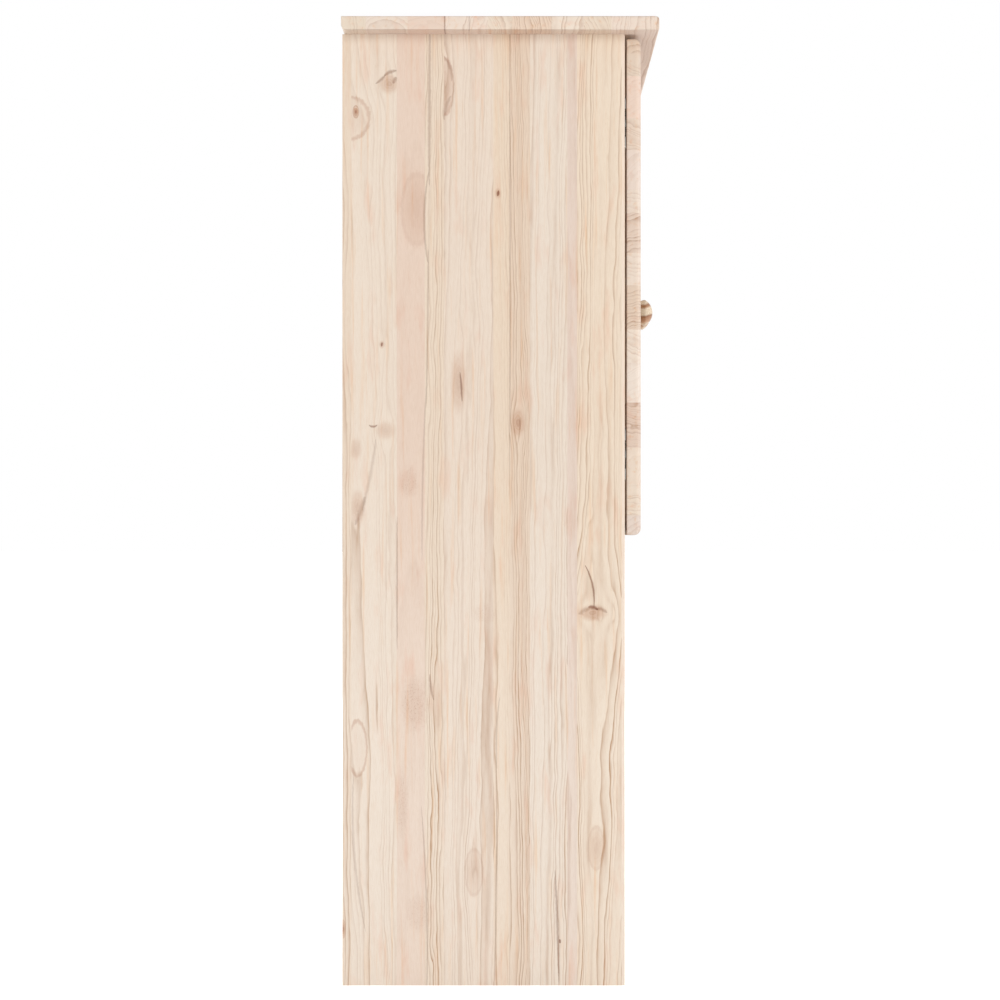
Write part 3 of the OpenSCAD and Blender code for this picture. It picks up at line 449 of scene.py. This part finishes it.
top_strips = [
    (-118.0, colour(236, 221, 208), 5.0, -240.0, 20.0, 0.60),
    (-88.0, colour(234, 219, 202), 4.2, -20.0, 35.0, 0.65),
    (-52.0, colour(238, 225, 211), 8.0, -180.0, 45.0, 0.65),
    (-9.0, colour(233, 213, 195), 3.4, 120.0, 15.0, 0.80),
    (18.0, colour(235, 220, 204), 6.0, 90.0, 40.0, 0.55),
    (65.0, colour(237, 222, 209), 6.5, -60.0, 35.0, 0.50),
    (106.0, colour(233, 213, 198), 9.0, 80.0, 60.0, 0.28),
    (152.0, colour(236, 222, 209), 7.0, 130.0, 30.0, 0.35),
    (400.0, colour(233, 219, 202), 6.0, 260.0, 25.0, 0.40),
]
top_knots = [
    (-180.0, 128.0, 16, 9, 0.7, 0.5, 7), (40.0, 30.0, 18, 12, 0.6, 0.4, 5),
    (150.0, -70.0, 14, 8, 0.8, 0.6, 2), (-90.0, -30.0, 10, 6, 0.6, 0.4, 3),
    (220.0, 140.0, 15, 10, 0.5, 0.5, 7), (-240.0, -105.0, 8, 5, 0.6, 0.5, 1),
]
top_strokes = [
    (-330.0, 65.4, -240.0, 65.0, 1.1, 0.0, 0.55), (-308.0, 38.1, -292.0, 38.5, 1.0, 0.0, 0.25),
]
# the top's underside gets painted shade, darker and browner
eased("top_panel", "cabinet",
      pine("top_pine", "x", "y", top_strips, top_knots, top_strokes, middle=1062.0, seed=3.3, painted_underside_shade=True))

# ---------------------------------------------------------------------------------------------
# The back, one sheet of thin plywood let into rebates and held by brads, its face veneer peeled
# from the log, so the figure is broad, wavy and pale.
# ---------------------------------------------------------------------------------------------

ply, sheet = finish("plywood")
place = sheet.node("ShaderNodeTexCoord", out="Object")
drawn = sheet.node("ShaderNodeMapping", {
    "Vector": place, "Location": (0.3, 0.0, 1.1), "Scale": (6.0, 6.0, 0.8)})
swirl = sheet.node("ShaderNodeTexNoise", {
    "Vector": drawn, "Scale": 1.0, "Detail": 2.5, "Roughness": 0.45, "Distortion": 0.4})
bands = (swirl * 22.0).math("FRACT")
bands = bands.fade(0.35, 0.90) * bands.fade(1.0, 0.92)
hair = sheet.node("ShaderNodeTexNoise", {
    "Vector": sheet.node("ShaderNodeMapping", {"Vector": place, "Scale": (1500.0, 1500.0, 45.0)}),
    "Scale": 1.0, "Detail": 2.0})
veneer = sheet.node("ShaderNodeMix", {
    0: swirl.fade(0.3, 0.7), 6: colour(231, 213, 190), 7: colour(225, 205, 180)}, out=2, data_type="RGBA")
veneer = veneer.tint(colour(226, 202, 176), bands * 0.40, "MULTIPLY")
veneer = veneer.tint(colour(236, 227, 214), hair.fade(0.35, 0.75), "MULTIPLY")
lay_on(sheet, sheet.node("ShaderNodeBsdfPrincipled", {
    "Base Color": veneer, "Roughness": hair * 0.2 + 0.5, "Specular IOR Level": 0.3,
    "Normal": sheet.node("ShaderNodeBump", {"Strength": 0.2, "Distance": 0.0003, "Height": hair})}))
eased("back_panel", "cabinet", ply)

# ---------------------------------------------------------------------------------------------
# Steel, zinc and beech: the cams, cam bolts and dowels that knock the carcass together, and the
# pins that carry the shelves.
# ---------------------------------------------------------------------------------------------


def plated(name, tone, rough, brushed=0.0):
    """Plated steel: the plating's own colour, faint handling marks and a little unevenness."""
    material, plate = finish(name)
    place = plate.node("ShaderNodeTexCoord", out="Object")
    marks = plate.node("ShaderNodeTexNoise", {"Vector": place, "Scale": 420.0, "Detail": 4.0})
    broad = plate.node("ShaderNodeTexNoise", {"Vector": place, "Scale": 60.0, "Detail": 2.0})
    turned = plate.node("ShaderNodeTexNoise", {
        "Vector": plate.node("ShaderNodeMapping", {"Vector": place, "Scale": (300.0, 4000.0, 300.0)}),
        "Scale": 1.0})
    dull = [v * 0.94 for v in tone[:3]] + [1.0]
    skin = plate.node("ShaderNodeMix", {0: broad.fade(0.35, 0.65), 6: tone, 7: dull}, out=2, data_type="RGBA")
    lay_on(plate, plate.node("ShaderNodeBsdfPrincipled", {
        "Base Color": skin, "Metallic": 1.0, "Roughness": marks * 0.10 + broad * 0.06 + (rough - 0.07),
        "Normal": plate.node("ShaderNodeBump", {
            "Strength": 0.08, "Distance": 0.0001, "Height": marks * 0.15 + turned * brushed})}))
    return material


nickel = plated("nickel_plate", colour(214, 212, 206), 0.24)
zinc = plated("zinc_plate", colour(188, 190, 194), 0.36, brushed=0.5)

peg, turned = finish("beech")
place = turned.node("ShaderNodeTexCoord", out="Object")
ray = turned.node("ShaderNodeTexNoise", {
    "Vector": turned.node("ShaderNodeMapping", {"Vector": place, "Scale": (90.0, 900.0, 900.0)}),
    "Scale": 1.0, "Detail": 3.0})
lay_on(turned, turned.node("ShaderNodeBsdfPrincipled", {
    "Base Color": turned.node("ShaderNodeMix", {
        0: ray.fade(0.35, 0.7), 6: colour(214, 176, 136), 7: colour(184, 140, 100)}, out=2, data_type="RGBA"),
    "Roughness": ray * 0.2 + 0.5,
    "Normal": turned.node("ShaderNodeBump", {"Strength": 0.3, "Distance": 0.0003, "Height": ray})}))

# the brads, flat heads a hair proud of the plywood, into the rebates, the middle shelf and the floor board
rebate_x, first_z, brad_step, head_y = 0.2680, 0.10, 0.15, 0.1784
bm = bmesh.new()
bmesh.ops.create_cone(bm, cap_ends=True, segments=14, radius1=0.00130, radius2=0.00115, depth=0.00045,
                      matrix=Matrix.Rotation(-math.pi / 2, 4, "X"))
rims = [edge for edge in bm.edges if all(corner.co.y > 0 for corner in edge.verts)]
bmesh.ops.bevel(bm, geom=rims, offset=0.00012, segments=2, profile=0.5, affect="EDGES", material=-1)
head = bm.verts[:] + bm.edges[:] + bm.faces[:]
spots = [(x, first_z + brad_step * i) for x in (-rebate_x, rebate_x) for i in range(7)]
spots += [(x, z) for x in (-0.18, -0.06, 0.06, 0.18) for z in (0.068, 0.505)]
for x, z in spots:
    new = bmesh.ops.duplicate(bm, geom=head)["geom"]
    corners = [part for part in new if isinstance(part, bmesh.types.BMVert)]
    bmesh.ops.translate(bm, vec=(x, head_y, z), verts=corners)
bmesh.ops.delete(bm, geom=[part for part in head if isinstance(part, bmesh.types.BMVert)], context="VERTS")
mesh = bpy.data.meshes.new("back_brads")
bm.to_mesh(mesh)
bm.free()
mesh.materials.append(zinc)
brads = bpy.data.objects.new("back_brads", mesh)
bpy.context.collection.objects.link(brads)
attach(brads, "cabinet")

for node, slot, metal in (("cams", "zinc", zinc), ("cam_bolts", "zinc", zinc), ("dowels", "beech", peg),
                          ("shelf_pins", "nickel", nickel)):
    eased(node, "cabinet", metal, crease=30)

# ---------------------------------------------------------------------------------------------
# The two doors. Each frame is cut from one glued board with the grain across, so its upright
# edges show end grain in short bands. The glass lies in a rebate behind mitred beads.
# ---------------------------------------------------------------------------------------------

left_door_strips = [
    (521.0, colour(228, 213, 202), 6.0, 470.0, 30.0, 0.32),
    (555.0, colour(232, 217, 201), 5.0, 640.0, 20.0, 0.4),
    (596.0, colour(233, 217, 201), 7.0, 560.0, 25.0, 0.4),
    (646.0, colour(224, 203, 187), 4.0, 720.0, 25.0, 0.56),
    (690.0, colour(236, 223, 211), 8.0, 600.0, 40.0, 0.24),
    (727.0, colour(235, 221, 207), 6.0, 780.0, 30.0, 0.4),
    (776.0, colour(224, 204, 186), 4.2, 700.0, 20.0, 0.72),
    (812.0, colour(232, 217, 203), 6.5, 900.0, 30.0, 0.4),
    (856.0, colour(225, 206, 191), 4.6, 760.0, 22.0, 0.72),
    (882.0, colour(231, 216, 202), 5.0, 960.0, 24.0, 0.48),
    (926.0, colour(231, 215, 203), 8.5, 860.0, 60.0, 0.2),
    (961.0, colour(228, 210, 194), 4.4, 1040.0, 20.0, 0.72),
    (1008.0, colour(233, 211, 196), 9.0, 900.0, 60.0, 0.16),
    (1033.0, colour(224, 207, 190), 5.0, 1100.0, 22.0, 0.64),
    (1100.0, colour(221, 202, 184), 5.0, 960.0, 25.0, 0.64),
]
left_door_knots = [
    (-253.0, 958.0, 9, 6, 0.7, 0.5, 11), (-27.0, 640.0, 12, 9, 0.6, 0.4, 3),
    (-190.0, 522.0, 14, 8, 0.7, 0.5, 1), (-90.0, 1025.0, 13, 9, 0.7, 0.5, 13),
    (-255.0, 700.0, 10, 7, 0.4, 0.3, 5),
]
left_door_pine = pine("left_door_pine", "x", "z", left_door_strips, left_door_knots, middle=-143.7, seed=27.5)
strips, knots = glue_up(41, 499, 1050, 278, start=0, knotty=8)
right_door_pine = pine("right_door_pine", "x", "z", strips, knots, middle=-143.7, seed=33.1)

pane, clear = finish("window_glass")
place = clear.node("ShaderNodeTexCoord", out="Object")
ripple = clear.node("ShaderNodeTexNoise", {"Vector": place, "Scale": 14.0, "Detail": 1.0})
film = clear.node("ShaderNodeTexNoise", {"Vector": place, "Scale": 90.0, "Detail": 5.0})
glass = clear.node("ShaderNodeBsdfPrincipled", {
    "Base Color": (0.975, 0.99, 0.985, 1.0), "Transmission Weight": 1.0, "IOR": 1.5,
    "Roughness": film.fade(0.45, 0.75) * 0.015,
    "Normal": clear.node("ShaderNodeBump", {"Strength": 0.02, "Distance": 0.001, "Height": ripple})})
passing = clear.node("ShaderNodeLightPath", out="Is Shadow Ray").math(
    "MAXIMUM", clear.node("ShaderNodeLightPath", out="Is Diffuse Ray"))
lay_on(clear, clear.node("ShaderNodeMixShader", (
    passing, glass, clear.node("ShaderNodeBsdfTransparent", {"Color": (0.95, 0.965, 0.955, 1.0)}))))

for side, body, wood in (("left", "left_door", left_door_pine), ("right", "right_door", right_door_pine)):
    eased(side + "_door_frame", body, wood)
    eased(side + "_glazing_beads", body, wood, crease=30)
    eased(side + "_door_glass", body, pane, crease=30)

# ---------------------------------------------------------------------------------------------
# The knobs, turned from strongly striped pine: a flat mushroom head on a hollow waist, with a
# foot that sits on the door. One screw from inside the door holds each.
# ---------------------------------------------------------------------------------------------

knob_wood, striped = finish("knob_pine")
place = striped.node("ShaderNodeTexCoord", out="Object")
x, y, z = (striped.node("ShaderNodeSeparateXYZ", (place,), out=i) * 1000.0 for i in range(3))
sway = striped.node("ShaderNodeTexNoise", {"Vector": place, "Scale": 45.0, "Detail": 2.0}) * 2.6
hair = striped.node("ShaderNodeTexNoise", {
    "Vector": striped.node("ShaderNodeMapping", {"Vector": place, "Scale": (70.0, 900.0, 900.0)}),
    "Scale": 1.0, "Detail": 3.0})
side_x = abs(x) - 26.5
height_up = z + side_x * side_x * 0.012 + (y + 165.0) * 0.10 + sway
bands = striped.node("ShaderNodeValToRGB", ((height_up - 746.0) / 44.0,), stops=(
    (0.00, colour(150, 106, 74)), (0.13, colour(168, 120, 84)), (0.19, colour(228, 207, 180)),
    (0.27, colour(222, 198, 168)), (0.33, colour(196, 150, 116)), (0.44, colour(172, 122, 86)),
    (0.49, colour(148, 98, 62)), (0.54, colour(229, 210, 184)), (0.70, colour(232, 214, 190)),
    (0.755, colour(178, 130, 92)), (0.80, colour(164, 114, 76)), (0.845, colour(230, 212, 188)),
    (0.89, colour(224, 203, 176)), (0.93, colour(150, 112, 84))))
lay_on(striped, striped.node("ShaderNodeBsdfPrincipled", {
    "Base Color": bands.tint(colour(226, 214, 200), hair.fade(0.35, 0.75), "MULTIPLY"),
    "Roughness": hair * 0.15 + 0.38, "Coat Weight": 0.12, "Coat Roughness": 0.25,
    "Normal": striped.node("ShaderNodeBump", {"Strength": 0.2, "Distance": 0.0002, "Height": hair})}))
for side in ("left", "right"):
    eased(side + "_knob", side + "_door", knob_wood, crease=50)
    eased(side + "_knob_screw", side + "_door", zinc, crease=30)

# ---------------------------------------------------------------------------------------------
# Two soft bumpers inside each door, clear grey rubber domes that meet the middle shelf.
# ---------------------------------------------------------------------------------------------

pad, soft = finish("rubber")
place = soft.node("ShaderNodeTexCoord", out="Object")
bloom = soft.node("ShaderNodeTexNoise", {"Vector": place, "Scale": 900.0, "Detail": 3.0})
lay_on(soft, soft.node("ShaderNodeBsdfPrincipled", {
    "Base Color": soft.node("ShaderNodeMix", {0: bloom, 6: colour(176, 174, 168), 7: colour(206, 204, 198)},
                            out=2, data_type="RGBA"),
    "Roughness": bloom * 0.2 + 0.5,
    "Normal": soft.node("ShaderNodeBump", {"Strength": 0.15, "Distance": 0.0002, "Height": bloom})}))
for side in ("left", "right"):
    eased(side + "_door_bumpers", side + "_door", pad, crease=30)

# ---------------------------------------------------------------------------------------------
# The cup hinges, pressed and nickel-plated steel: cup in the door, arm and plate on the side.
# ---------------------------------------------------------------------------------------------

for side in ("left", "right"):
    for part, body, slot, metal in (
            ("hinge_cups", side + "_door", "nickel", nickel), ("cup_screws", side + "_door", "zinc", zinc),
            ("hinge_pins", side + "_door", "zinc", zinc), ("hinge_arms", "cabinet", "nickel", nickel),
            ("mounting_plates", "cabinet", "nickel", nickel), ("plate_screws", "cabinet", "zinc", zinc),
            ("arm_screws", "cabinet", "zinc", zinc)):
        eased(side + "_" + part, body, metal, crease=30)
